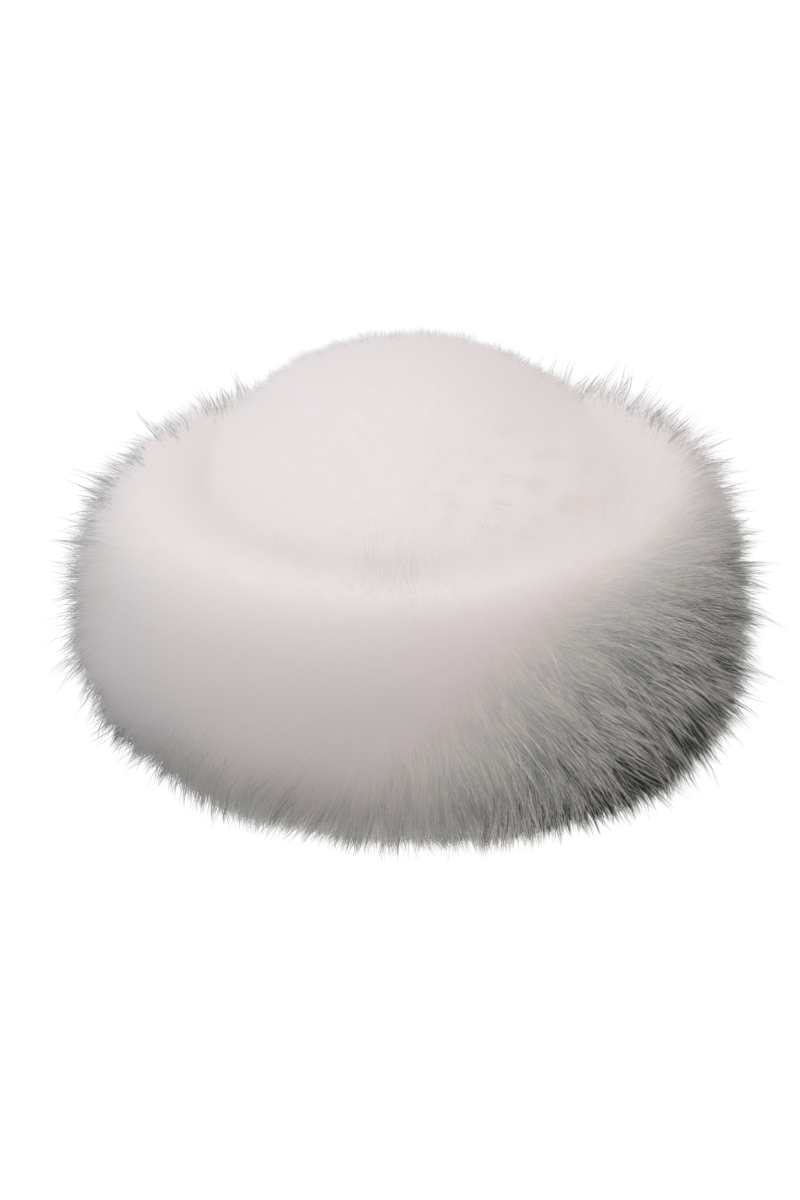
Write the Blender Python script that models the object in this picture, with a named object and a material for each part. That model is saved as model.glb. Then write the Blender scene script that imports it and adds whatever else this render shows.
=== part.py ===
"""A fur roller hat: a hollow hide crown under short fur, inside a turned-up cuff of deep fox fur.

Metres, +Z up. The hat stands on the lower edge of its cuff at Z = 0, with the head opening
underneath. Its front faces -Y, and its longer axis, front to back, lies along Y.
Every ring is an oval round the head line. A place is given by how far out it lies beyond that
line, by its height, and on the dome by its reach, which is 1 at the side and 0 at the peak.
Fur is drawn as its outer form: a backing whose diamond faces are drawn out into locks.
"""

import math
import random

import bmesh
import bpy
import numpy as np
from mathutils import Vector

# The head opening, for a head of 57 to 58 cm
HEAD_HALF_WIDTH = 0.086
HEAD_HALF_LENGTH = 0.097

# Hide with its interlining, and the gap that sewn pieces keep
HIDE = 0.0025
SEAM_GAP = 0.0003

# Every ring has this many sectors, so that facing walls have parallel facets
SECTORS = 40
SMOOTH_BELOW = math.radians(40)

# The crown shell's outer face: an upright side, then a soft peaked dome
CROWN_SIDE_TOP = 0.118
CROWN_TOP = 0.187
DOME_REACH_POWER = 1.7
DOME_RISE_POWER = 2.2
DOME_RINGS = 9
TOP_RING_REACH = 0.14

# The crown's short fur. Its tufts are shorter by the valley and on small faces near the peak.
CROWN_FUR_BOTTOM = 0.104
CROWN_BACKING = 0.0045
CROWN_FUR_ROWS = 13
CROWN_TUFT_RISE = 0.0075
CROWN_TUFT_LEAN = 0.0075
PEAK_TUFT_RISE = 0.0100
SHORT_TUFTS_BELOW = 0.135
SHORTEST_TUFT = 0.35
FULL_TUFT_FACE = 0.010

# The cuff's hide, turned up round the shell
BAND_TOP = 0.100

# The cuff's fur: the backing's outline, measured outwards from the head line and up from the ground
CREST_OUT = 0.027
CREST_HEIGHT = 0.130
VALLEY_OUT = 0.0125
VALLEY_HEIGHT = 0.114
WIDEST_OUT = 0.066
WIDEST_HEIGHT = 0.060
FOOT_OUT = 0.032
VALLEY_POWER = 2.0
OUTLINE_POWER = 2.3
OUTLINE_STEPS = 24
CUFF_ROWS = 17

# The cuff's heights grow by these shares at the back and on the right, and shrink opposite
CUFF_HIGHER_BACK = 0.024
CUFF_HIGHER_RIGHT = 0.016

# The cuff's locks: how far a tip stands out, how far it is combed down, and how lengths vary
LOCK_RISE = 0.0165
LOCK_LEAN = 0.0150
LOCK_VARIES = 0.16
LOCK_STRAYS = 0.5
LOCK_WAIST_HEIGHT = 0.50
LOCK_WAIST_WIDTH = 0.62

# Locks shorten from the crest in to the valley, as their faces turn from outwards to inwards,
# and from this height down to the foot. The shortest are left as plain faces.
FULL_LOCK_FACING = 0.40
NO_LOCK_FACING = -0.60
FULL_LOCK_HEIGHT = 0.040
NO_LOCK_HEIGHT = 0.010
SHORTEST_LOCK = 0.25
GROUND_CLEARANCE = 0.0008

SEED = 11

FUR_WHITE = (0.88, 0.86, 0.84)
HIDE_CREAM = (0.80, 0.74, 0.64)


def clear_scene():
    for obj in list(bpy.data.objects):
        bpy.data.objects.remove(obj, do_unlink=True)


def material(name, colour, roughness):
    made = bpy.data.materials.new(name)
    made.use_nodes = True
    shader = made.node_tree.nodes["Principled BSDF"]
    shader.inputs["Base Color"].default_value = (*colour, 1.0)
    shader.inputs["Roughness"].default_value = roughness
    shader.inputs["Metallic"].default_value = 0.0
    return made


def on_oval(angle, out, height, reach=1.0):
    """A point on an oval out beyond the head line, drawn in to reach times its size."""
    return Vector((
        (HEAD_HALF_WIDTH + out) * reach * math.cos(angle),
        (HEAD_HALF_LENGTH + out) * reach * math.sin(angle),
        height,
    ))


def oval_ring(bm, out, height, reach=1.0, turn=0.0):
    """A ring of vertices on such an oval, turned by a share of one sector."""
    step = 2 * math.pi / SECTORS
    return [bm.verts.new(on_oval((i + turn) * step, out, height, reach)) for i in range(SECTORS)]


def bridge(bm, ring, other):
    """A strip of quads between two rings."""
    for i in range(SECTORS):
        after = (i + 1) % SECTORS
        bm.faces.new((ring[i], ring[after], other[after], other[i]))


def lattice(bm, rings):
    """Diamond faces over an odd number of rings, every second one turned by half a sector.

    Each diamond spans three rings. Triangles close both edges.
    """
    diamonds = []
    for row in range(len(rings) - 2):
        shift = row % 2
        low, middle, high = rings[row : row + 3]
        for i in range(SECTORS):
            left = middle[(i + shift - 1) % SECTORS]
            right = middle[(i + shift) % SECTORS]
            diamonds.append(bm.faces.new((low[i], right, high[i], left)))
    first, second, *_, before, last = rings
    for i in range(SECTORS):
        after = (i + 1) % SECTORS
        bm.faces.new((first[i], first[after], second[i]))
        bm.faces.new((last[after], last[i], before[i]))
    return diamonds


def staggered_rings(bm, rows):
    """A ring for each row (out, height, reach), every second one turned by half a sector."""
    return [oval_ring(bm, *row, turn=(k % 2) / 2) for k, row in enumerate(rows)]


def even_rows(path, count):
    """As many rows (out, height, reach) as count, spaced evenly along path as seen from the front."""
    path = np.array(path)
    seen = np.column_stack([(HEAD_HALF_WIDTH + path[:, 0]) * path[:, 2], path[:, 1]])
    run = np.concatenate([[0.0], np.cumsum(np.linalg.norm(np.diff(seen, axis=0), axis=1))])
    wanted = np.linspace(0.0, run[-1], count)
    return np.column_stack([np.interp(wanted, run, column) for column in path.T])


def rounded_quarter(centre, half_out, half_up, power):
    """Rows along a quarter of a rounded oblong, from straight above centre to straight beside it."""
    turns = np.linspace(0.0, math.pi / 2, OUTLINE_STEPS)
    out = centre[0] + half_out * np.sin(turns) ** (2 / power)
    height = centre[1] + half_up * np.cos(turns) ** (2 / power)
    return [(x, z, 1.0) for x, z in zip(out, height)]


def dome_height(reach, thicker):
    """Height of the crown's dome at reach, for a surface that much thicker than the shell."""
    rise = CROWN_TOP + thicker - CROWN_SIDE_TOP
    return CROWN_SIDE_TOP + rise * (1 - reach**DOME_REACH_POWER) ** (1 / DOME_RISE_POWER)


def crown_rows(thicker, bottom, dome_rings):
    """Rows up the crown's side from bottom and over its dome to near the peak."""
    turns = np.linspace(0.0, math.acos(TOP_RING_REACH), dome_rings)
    dome = [(HIDE + thicker, dome_height(reach, thicker), reach) for reach in np.cos(turns)]
    return [(HIDE + thicker, bottom, 1.0), *dome]


def add_dome(bm, thicker, bottom):
    """The crown's smooth surface, closed at its peak. It returns the lowest ring."""
    rings = [oval_ring(bm, *row) for row in crown_rows(thicker, bottom, DOME_RINGS)]
    for ring, other in zip(rings, rings[1:]):
        bridge(bm, ring, other)
    top = rings[-1]
    peak = bm.verts.new((0, 0, CROWN_TOP + thicker))
    for corner, after in zip(top, top[1:] + top[:1]):
        bm.faces.new((corner, after, peak))
    return rings[0]


def solid_from(bm, name, finish):
    """The closed bmesh as a named object, shaded smooth but for its sharp edges."""
    bmesh.ops.recalc_face_normals(bm, faces=bm.faces[:])
    mesh = bpy.data.meshes.new(name)
    bm.to_mesh(mesh)
    bm.free()
    mesh.materials.append(finish)
    mesh.shade_smooth()
    mesh.set_sharp_from_angle(angle=SMOOTH_BELOW)
    obj = bpy.data.objects.new(name, mesh)
    bpy.context.scene.collection.objects.link(obj)
    return obj


def lock_sizes(rng):
    """How long one lock is, as a share, and how far it strays sideways."""
    return 1 + rng.uniform(-LOCK_VARIES, LOCK_VARIES), rng.uniform(-LOCK_STRAYS, LOCK_STRAYS)


def fade(value, none, full):
    """A share that grows from 0 at none to 1 at full."""
    return min(1.0, max(0.0, (value - none) / (full - none)))


def raise_unevenly(ring):
    """Raises a ring of the cuff by its share at the back and on the right, and lowers it opposite."""
    for corner in ring:
        level = Vector((corner.co.x, corner.co.y, 0)).normalized()
        corner.co.z *= 1 + CUFF_HIGHER_BACK * level.y + CUFF_HIGHER_RIGHT * level.x


def keep_above_ground(point):
    point.z = max(point.z, GROUND_CLEARANCE)
    return point


def draw_tuft(bm, face, rise, lean):
    """Draws a face out to one point, rise along its normal and leaning by the vector lean."""
    normal = face.normal.copy()
    middle = face.calc_center_median()
    made = bmesh.ops.poke(bm, faces=[face])
    made["verts"][0].co = keep_above_ground(middle + normal * rise + lean)


def draw_lock(bm, face, rise, lean):
    """Draws a face out into a lock that narrows to a waist and bends over to its tip."""
    normal = face.normal.copy()
    middle = face.calc_center_median()
    top = bmesh.ops.extrude_discrete_faces(bm, faces=[face])["faces"][0]
    waist = middle + normal * rise * LOCK_WAIST_HEIGHT + lean * LOCK_WAIST_HEIGHT**2
    for corner in top.verts:
        corner.co = keep_above_ground(waist + (corner.co - middle) * LOCK_WAIST_WIDTH)
    made = bmesh.ops.poke(bm, faces=[top])
    made["verts"][0].co = keep_above_ground(middle + normal * rise + lean)


def downhill(normal):
    """The direction straight down the surface that has this normal, or outwards where it is level."""
    slope = Vector((0, 0, -1)) + normal * normal.z
    return slope.normalized() if slope.length > 1e-6 else Vector()


def outwards(face):
    """The level direction away from the crown at a face."""
    middle = face.calc_center_median()
    return Vector((middle.x, middle.y, 0)).normalized()


def around(face):
    """The level direction along the ring at a face."""
    return outwards(face).cross(Vector((0, 0, -1)))


def make_crown_shell(hide):
    """The hollow crown of hide: its outer face, given its wall inwards by Solidify."""
    bm = bmesh.new()
    add_dome(bm, 0.0, 0.0)
    obj = solid_from(bm, "crown_shell", hide)
    wall = obj.modifiers.new("hide", "SOLIDIFY")
    wall.thickness = HIDE
    wall.offset = -1
    wall.use_even_offset = True
    wall.use_rim = True
    return obj


def make_crown_fur(fur, rng):
    """The crown's short fur: a thin backing over the shell, with rows of tufts combed down it."""
    bm = bmesh.new()
    inner = add_dome(bm, SEAM_GAP, CROWN_FUR_BOTTOM)
    path = crown_rows(CROWN_BACKING, CROWN_FUR_BOTTOM, OUTLINE_STEPS)
    outer = staggered_rings(bm, even_rows(path, CROWN_FUR_ROWS))
    bridge(bm, inner, outer[0])
    tufts = lattice(bm, outer)
    top = bm.faces.new(outer[-1])
    bmesh.ops.recalc_face_normals(bm, faces=bm.faces[:])
    for face in tufts:
        length, sideways = lock_sizes(rng)
        height = face.calc_center_median().z
        length *= max(SHORTEST_TUFT, fade(height, CROWN_FUR_BOTTOM, SHORT_TUFTS_BELOW))
        length *= fade(math.sqrt(face.calc_area()), 0.0, FULL_TUFT_FACE)
        lean = (downhill(face.normal) + around(face) * sideways) * CROWN_TUFT_LEAN
        draw_tuft(bm, face, CROWN_TUFT_RISE * length, lean * length)
    draw_tuft(bm, top, PEAK_TUFT_RISE, Vector())
    return solid_from(bm, "crown_fur", fur)


def make_cuff_band(hide):
    """The hide of the cuff: an upright band sewn round the shell's lower edge and turned up."""
    bm = bmesh.new()
    inside = HIDE + SEAM_GAP
    outside = inside + HIDE
    rings = [
        oval_ring(bm, inside, GROUND_CLEARANCE),
        oval_ring(bm, inside, BAND_TOP),
        oval_ring(bm, outside, BAND_TOP),
        oval_ring(bm, outside, GROUND_CLEARANCE),
    ]
    for ring, other in zip(rings, rings[1:] + rings[:1]):
        bridge(bm, ring, other)
    return solid_from(bm, "cuff_band", hide)


def cuff_outline():
    """Rows of the cuff's fur backing, from the valley by the crown, over the crest, to its foot."""
    inner = rounded_quarter(
        centre=(CREST_OUT, VALLEY_HEIGHT),
        half_out=VALLEY_OUT - CREST_OUT,
        half_up=CREST_HEIGHT - VALLEY_HEIGHT,
        power=VALLEY_POWER,
    )
    upper = rounded_quarter(
        centre=(CREST_OUT, WIDEST_HEIGHT),
        half_out=WIDEST_OUT - CREST_OUT,
        half_up=CREST_HEIGHT - WIDEST_HEIGHT,
        power=OUTLINE_POWER,
    )
    lower = rounded_quarter(
        centre=(FOOT_OUT, WIDEST_HEIGHT),
        half_out=WIDEST_OUT - FOOT_OUT,
        half_up=-WIDEST_HEIGHT,
        power=OUTLINE_POWER,
    )
    return inner[::-1] + upper[1:] + lower[-2::-1]


def make_cuff_fur(fur, rng):
    """The cuff's deep fur: a backing ring round the band, drawn out into rows of curved locks."""
    bm = bmesh.new()
    band_face = 2 * (HIDE + SEAM_GAP)
    step_height = BAND_TOP + SEAM_GAP
    outer = staggered_rings(bm, even_rows(cuff_outline(), CUFF_ROWS))
    for ring in outer:
        raise_unevenly(ring)
    foot_inside = oval_ring(bm, band_face, 0.0)
    step_inside = oval_ring(bm, band_face, step_height)
    step_outside = oval_ring(bm, VALLEY_OUT, step_height)
    bridge(bm, outer[-1], foot_inside)
    bridge(bm, foot_inside, step_inside)
    bridge(bm, step_inside, step_outside)
    bridge(bm, step_outside, outer[0])
    locks = lattice(bm, outer)
    bmesh.ops.recalc_face_normals(bm, faces=bm.faces[:])
    for face in locks:
        length, sideways = lock_sizes(rng)
        facing = face.normal.dot(outwards(face))
        share = fade(facing, NO_LOCK_FACING, FULL_LOCK_FACING)
        share *= fade(face.calc_center_median().z, NO_LOCK_HEIGHT, FULL_LOCK_HEIGHT)
        if share < SHORTEST_LOCK:
            continue
        combed = downhill(face.normal) if facing > 0 else outwards(face)
        lean = (combed + around(face) * sideways) * LOCK_LEAN
        draw_lock(bm, face, LOCK_RISE * length * share, lean * length * share)
    return solid_from(bm, "cuff_fur", fur)


def stand_on_origin(pieces):
    """Parents the pieces to one empty, placed so that their box stands centred on the origin."""
    bpy.context.view_layer.update()
    graph = bpy.context.evaluated_depsgraph_get()
    corners = np.array([
        corner for piece in pieces for corner in piece.evaluated_get(graph).bound_box
    ])
    low, high = corners.min(axis=0), corners.max(axis=0)
    hat = bpy.data.objects.new("hat", None)
    bpy.context.scene.collection.objects.link(hat)
    hat.location = (-(low[0] + high[0]) / 2, -(low[1] + high[1]) / 2, -low[2])
    for piece in pieces:
        piece.parent = hat


def build():
    clear_scene()
    rng = random.Random(SEED)
    fur = material("white_fox_fur", FUR_WHITE, 0.85)
    hide = material("cream_hide", HIDE_CREAM, 0.75)
    pieces = [
        make_crown_shell(hide),
        make_crown_fur(fur, rng),
        make_cuff_band(hide),
        make_cuff_fur(fur, rng),
    ]
    stand_on_origin(pieces)


build()
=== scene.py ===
"""A fur roller hat: a domed crown of short white fur inside a rolled-up cuff of deep fox fur.

Metres, +Z up, in the frame's own place. The front of the hat faces -Y.
"""

import math

import bpy
import numpy as np
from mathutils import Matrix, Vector


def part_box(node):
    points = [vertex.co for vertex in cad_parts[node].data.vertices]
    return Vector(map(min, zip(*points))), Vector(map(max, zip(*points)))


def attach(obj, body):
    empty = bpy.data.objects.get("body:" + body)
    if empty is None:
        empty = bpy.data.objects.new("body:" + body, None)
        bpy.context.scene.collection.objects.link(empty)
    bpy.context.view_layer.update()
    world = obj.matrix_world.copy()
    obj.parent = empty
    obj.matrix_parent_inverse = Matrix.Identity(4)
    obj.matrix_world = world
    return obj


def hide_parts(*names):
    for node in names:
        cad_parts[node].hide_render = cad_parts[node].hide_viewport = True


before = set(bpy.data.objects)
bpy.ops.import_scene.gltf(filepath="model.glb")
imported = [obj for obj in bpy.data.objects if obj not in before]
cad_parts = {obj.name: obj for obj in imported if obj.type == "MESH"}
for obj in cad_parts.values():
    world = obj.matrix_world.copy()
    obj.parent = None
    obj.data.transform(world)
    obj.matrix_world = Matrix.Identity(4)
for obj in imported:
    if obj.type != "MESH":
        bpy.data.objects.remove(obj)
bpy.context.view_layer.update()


# The hide. Crown and cuff are cut from dressed pelts, whose flesh side is a cream suede.
# It shows inside the head opening and along its edge, where the cuff is seamed on and turned up.

HIDE_CREAM = (0.66, 0.58, 0.46, 1.0)
HIDE_SHADE = (0.47, 0.39, 0.29, 1.0)
HIDE_PATCHES = 22.0
HIDE_SHADE_BELOW = 0.30
HIDE_CREAM_ABOVE = 0.68
HIDE_NAP = 2600.0


def fresh_material(name):
    """A material with a bare Principled shader. It returns the material, its node tree and the shader."""
    made = bpy.data.materials.new(name)
    made.use_nodes = True
    tree = made.node_tree
    return made, tree, tree.nodes["Principled BSDF"]


def add_node(tree, kind, **settings):
    """A node of that kind. Settings with names of its inputs set them, and the rest are its properties."""
    node = tree.nodes.new(kind)
    for name, value in settings.items():
        if hasattr(node, name):
            setattr(node, name, value)
        else:
            node.inputs[name.replace("_", " ")].default_value = value
    return node


def colour_ramp(tree, factor, stops):
    """A colour ramp over factor, with stops as (place, colour)."""
    ramp = tree.nodes.new("ShaderNodeValToRGB")
    elements = ramp.color_ramp.elements
    while len(elements) < len(stops):
        elements.new(0.5)
    for element, (place, colour) in zip(elements, stops):
        element.position = place
        element.color = colour
    tree.links.new(factor, ramp.inputs["Fac"])
    return ramp.outputs["Color"]


nap = bpy.data.node_groups.new("nap", "ShaderNodeTree")
nap.interface.new_socket("Place", in_out="INPUT", socket_type="NodeSocketVector")
for quantity in ("Scale", "Strength", "Distance"):
    nap.interface.new_socket(quantity, in_out="INPUT", socket_type="NodeSocketFloat")
nap.interface.new_socket("Normal", in_out="OUTPUT", socket_type="NodeSocketVector")
given = nap.nodes.new("NodeGroupInput")
fibres = add_node(nap, "ShaderNodeTexNoise", Detail=2.5)
bump = add_node(nap, "ShaderNodeBump")
nap.links.new(given.outputs["Place"], fibres.inputs["Vector"])
nap.links.new(given.outputs["Scale"], fibres.inputs["Scale"])
nap.links.new(given.outputs["Strength"], bump.inputs["Strength"])
nap.links.new(given.outputs["Distance"], bump.inputs["Distance"])
nap.links.new(fibres.outputs["Fac"], bump.inputs["Height"])
nap.links.new(bump.outputs["Normal"], nap.nodes.new("NodeGroupOutput").inputs["Normal"])


def add_nap(tree, scale, strength, height):
    """The nap's normal in that tree: fine fibres, so many to the metre, that stand up by height."""
    placed = add_node(tree, "ShaderNodeGroup", node_tree=nap, Scale=scale, Strength=strength,
                      Distance=height)
    tree.links.new(add_node(tree, "ShaderNodeTexCoord").outputs["Object"], placed.inputs["Place"])
    return placed.outputs["Normal"]


hide, tree, shader = fresh_material("cream_suede")
place = add_node(tree, "ShaderNodeTexCoord").outputs["Object"]
patches = add_node(tree, "ShaderNodeTexNoise", Scale=HIDE_PATCHES, Detail=5.0, Roughness=0.6)
tree.links.new(place, patches.inputs["Vector"])
hide_tones = [(HIDE_SHADE_BELOW, HIDE_SHADE), (HIDE_CREAM_ABOVE, HIDE_CREAM)]
tree.links.new(colour_ramp(tree, patches.outputs["Fac"], hide_tones), shader.inputs["Base Color"])
tree.links.new(add_nap(tree, scale=HIDE_NAP, strength=0.35, height=0.0004), shader.inputs["Normal"])
shader.inputs["Roughness"].default_value = 0.85
shader.inputs["Sheen Weight"].default_value = 0.25
for node in ("crown_shell", "cuff_band"):
    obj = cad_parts[node]
    obj.data.materials.clear()
    obj.data.materials.append(hide)


# The crown's underfur. A short, dense pelt lies over the domed hide, soft and warm white.
# Seen from outside it is one downy skin, out of which the longer hair of the crown stands.

shell_low, shell_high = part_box("crown_shell")
middle = (shell_low + shell_high) / 2
half_width, half_length = (shell_high - shell_low).xy / 2

CROWN_SIDE_TOP = 0.118
CROWN_TOP = shell_high.z
CROWN_FUR_BOTTOM = 0.104
DOME_REACH_POWER = 1.7
DOME_RISE_POWER = 2.2
SEAM_GAP = 0.0003
CROWN_SKIN = 0.0042
FLARE_TOP = 0.142
VALLEY_OUT = 0.0110
VALLEY_HEIGHT = 0.1165
SKIN_TURNS = 160
SKIN_ROWS = 60
PROFILE_STEPS = 500
SMALL_STEP = 0.002
FUR_WHITE = (0.90, 0.845, 0.84, 1.0)
FUR_SHADOW = (0.050, 0.056, 0.052, 1.0)
DOWN_FUZZ = 900.0
# Where the fur is parted and painted dark as shade: most on the shaded lower right, less at the foot, the
# left and the back.
STREAKS_LEVEL = 0.070
STREAKS_SLOPE = 1.0
STREAKS_WITHIN = (-0.010, 0.145)
STREAKS_PASS_BEHIND = (-0.10, 0.10)
CORNER_DEEPER = 0.70
CORNER_SLOPE = 1.3
CORNER_WITHIN = (0.118, 0.162)
CORNER_BEFORE = (-0.11, -0.06)
BACK_PARTED_SHADE = 0.22
BACK_WITHIN = (0.02, 0.12)
FOOT_PARTED_SHADE = 0.80
FOOT_BELOW = (0.006, 0.048)
LEFT_PARTED_SHADE = 0.28
LEFT_WITHIN = (0.125, 0.170)
STREAKS_END = (0.092, 0.137)
CROWN_UPWARD = 0.6
VALLEY_UPWARD = 3.4
VALLEY_NEARS = (0.45, 0.80)
SAME_PLACE_DIGITS = 6


def unit(vectors):
    """The vectors, each divided by its length."""
    return vectors / np.maximum(np.linalg.norm(vectors, axis=-1, keepdims=True), 1e-12)


def ease(value, low, high):
    """A share that grows smoothly from 0 at low to 1 at high, by 3 t squared less 2 t cubed."""
    t = np.clip((value - low) / (high - low), 0.0, 1.0)
    return t * t * (3 - 2 * t)


def parting_and_shade(place):
    """How far the fur is parted into streaks and painted with shade, from 0 to 1 and a bit more.

    The dark between the streaks is painted shade, in place of the fur's own shadows. It grows
    towards the shaded lower right, where it is deepest in the corner, and to smaller shares at the
    foot, the left side and the back. It ends below the crest.
    """
    x, y, z = place[..., 0], place[..., 1], place[..., 2]
    lower_right = ease(x + STREAKS_SLOPE * (STREAKS_LEVEL - z), *STREAKS_WITHIN)
    corner = ease(x + CORNER_SLOPE * (STREAKS_LEVEL - z), *CORNER_WITHIN)
    lower_right += CORNER_DEEPER * corner * (1 - ease(y, *CORNER_BEFORE))
    lower_right *= 1 - ease(y, *STREAKS_PASS_BEHIND)
    back = BACK_PARTED_SHADE * ease(y, *BACK_WITHIN)
    foot = FOOT_PARTED_SHADE * (1 - ease(z, *FOOT_BELOW))
    left = LEFT_PARTED_SHADE * ease(-x, *LEFT_WITHIN)
    return np.maximum.reduce([lower_right, back, foot, left]) * (1 - ease(z, *STREAKS_END))


def evenly(rows, count):
    """The profile's rows (out, height, reach), spaced evenly along its length seen from the front."""
    rows = np.asarray(rows)
    seen = np.stack([(half_width + rows[:, 0]) * rows[:, 2], rows[:, 1]], axis=1)
    run = np.concatenate([[0.0], np.cumsum(np.linalg.norm(np.diff(seen, axis=0), axis=1))])
    wanted = np.linspace(0.0, run[-1], count)
    return np.stack([np.interp(wanted, run, column) for column in rows.T], axis=1)


def on_profile(profile, turn, share):
    """Places at a turn round the hat and a share of the way along a profile.

    Each lies on an oval, out beyond the shell's outer face and drawn in to reach times its size.
    """
    at = np.clip(share, 0.0, 1.0) * (len(profile) - 1)
    out, height, reach = (np.interp(at, np.arange(len(profile)), column) for column in profile.T)
    x = middle.x + (half_width + out) * reach * np.cos(turn)
    y = middle.y + (half_length + out) * reach * np.sin(turn)
    return np.stack([x, y, height + 0 * turn], axis=-1)


def crown_rows(thicker, bottom):
    """The crown's outline from its peak down to bottom, that much outside the shell.

    The dome is as high as one less its reach to a power, the whole to one over another power.
    """
    reach = np.sin(np.linspace(0.0, math.pi / 2, PROFILE_STEPS))
    rise = CROWN_TOP + thicker - CROWN_SIDE_TOP
    height = CROWN_SIDE_TOP + rise * (1 - reach**DOME_REACH_POWER) ** (1 / DOME_RISE_POWER)
    dome = np.stack([np.full_like(reach, thicker), height, reach], axis=1)
    return np.concatenate([dome, [[thicker, bottom, 1.0]]])


flare = np.linspace(0.0, math.pi / 2, SKIN_ROWS)[:, None]
dome = crown_rows(CROWN_SKIN, CROWN_SIDE_TOP)
dome = dome[dome[:, 1] > FLARE_TOP]
flare = np.concatenate([
    dome[-1, :1] + (VALLEY_OUT - dome[-1, :1]) * (1 - np.cos(flare)),
    dome[-1, 1:2] + (VALLEY_HEIGHT - dome[-1, 1:2]) * np.sin(flare),
    dome[-1, 2:] + (1 - dome[-1, 2:]) * np.sin(flare),
], axis=1)
crown_profile = evenly(np.concatenate([dome, flare]), PROFILE_STEPS)


def crown_place(turn, share):
    """Places on the crown's underfur, from the peak at share 0 down to its lower edge at 1."""
    return on_profile(crown_profile, turn, share)


def surface_frame(place, turn, share):
    """Places, with their outward normals and the directions along the profile and round the hat.

    The directions are differences over small steps both ways. The normal is their cross product.
    """
    along = unit(place(turn, share + SMALL_STEP) - place(turn, share - SMALL_STEP))
    around = unit(place(turn + SMALL_STEP, share) - place(turn - SMALL_STEP, share))
    return place(turn, share), unit(np.cross(along, around)), along, around


def turned_up(normal, upward):
    """The normals, each with that much of straight up added and made one long again."""
    return unit(normal + np.array([0.0, 0.0, 1.0]) * upward[..., None])


def crown_lit(normal, share):
    """The direction the crown's fur is shaded from: its normal turned upwards, most by the valley.

    Light that soaks through white fur evens it out, so that its sides are hardly darker than its top.
    """
    return turned_up(normal, CROWN_UPWARD + (VALLEY_UPWARD - CROWN_UPWARD) * ease(share, *VALLEY_NEARS))


def add_mesh(name, points, faces, corners, finish):
    """A smooth mesh of triangles from whole arrays, with the UV of every corner."""
    mesh = bpy.data.meshes.new(name)
    mesh.vertices.add(len(points))
    mesh.vertices.foreach_set("co", np.ascontiguousarray(points, dtype=np.float32).ravel())
    mesh.loops.add(faces.size)
    mesh.loops.foreach_set("vertex_index", faces.astype(np.int32).ravel())
    mesh.polygons.add(len(faces))
    mesh.polygons.foreach_set("loop_start", np.arange(0, faces.size, 3, dtype=np.int32))
    mesh.update(calc_edges=True)
    layer = mesh.uv_layers.new(name="OFBake")
    layer.data.foreach_set("uv", np.ascontiguousarray(corners, dtype=np.float32).ravel())
    mesh.shade_smooth()
    mesh.materials.append(finish)
    made = bpy.data.objects.new(name, mesh)
    bpy.context.scene.collection.objects.link(made)
    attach(made, "root")
    return made


def spare_bounces(made):
    """Keeps fur from shading other fur, since light soaks through white hair from all sides."""
    made.visible_shadow = False
    made.visible_diffuse = False
    made.visible_transmission = False


def add_skin(name, place, shade_from, inside, finish):
    """A closed skin: the surface that place gives, then the rows inside, and back to its start.

    Its UV map runs once round the hat along x, and along the profile and back again along y.
    Its point attribute says how far the fur over it is parted and darkened with painted shade.
    It is shaded from the directions that shade_from gives, as the fur over it is.
    """
    turn = np.linspace(-math.pi, math.pi, SKIN_TURNS + 1)
    shares = np.repeat(np.linspace(0.0, 1.0, SKIN_ROWS)[:, None], len(turn), axis=1)
    rows = list(place(turn, shares))
    normal = surface_frame(place, turn, np.clip(shares, SMALL_STEP, 1 - SMALL_STEP))[1]
    lit = shade_from(normal, shares).reshape(-1, 3)
    rows += [on_profile(inside, turn, np.full_like(turn, share)) for share in
             np.linspace(0.0, 1.0, len(inside))]
    grid = np.stack(rows + rows[:1])
    high, wide = grid.shape[:2]
    number = np.arange(high * wide).reshape(high, wide)
    low_left, low_right = number[:-1, :-1].ravel(), number[:-1, 1:].ravel()
    top_left, top_right = number[1:, :-1].ravel(), number[1:, 1:].ravel()
    faces = np.concatenate([
        np.stack([low_left, top_left, top_right], axis=1),
        np.stack([low_left, top_right, low_right], axis=1),
    ])
    across, along = np.meshgrid(np.linspace(0, 1, wide), np.linspace(0, 1, high))
    corners = np.stack([across, along], axis=-1).reshape(-1, 2)[faces]
    points = grid.reshape(-1, 3)
    kept, merged = np.unique(np.round(points, SAME_PLACE_DIGITS), axis=0, return_index=True,
                             return_inverse=True)[1:]
    faces = merged.reshape(-1)[faces]
    whole = (faces[:, 0] != faces[:, 1]) & (faces[:, 1] != faces[:, 2]) & (faces[:, 2] != faces[:, 0])
    made = add_mesh(name, points[kept], faces[whole], corners[whole].reshape(-1, 2), finish)
    shown = kept < len(lit)
    normals = np.zeros((len(kept), 3), np.float32)
    made.data.vertices.foreach_get("normal", normals.ravel())
    normals[shown] = lit[kept[shown]]
    made.data.normals_split_custom_set_from_vertices(normals)
    layer = made.data.attributes.new("parting_shade_depth", "FLOAT", "POINT")
    layer.data.foreach_set("value", parting_and_shade(points[kept]).astype(np.float32))
    spare_bounces(made)
    return made


down, tree, shader = fresh_material("underfur")
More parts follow.
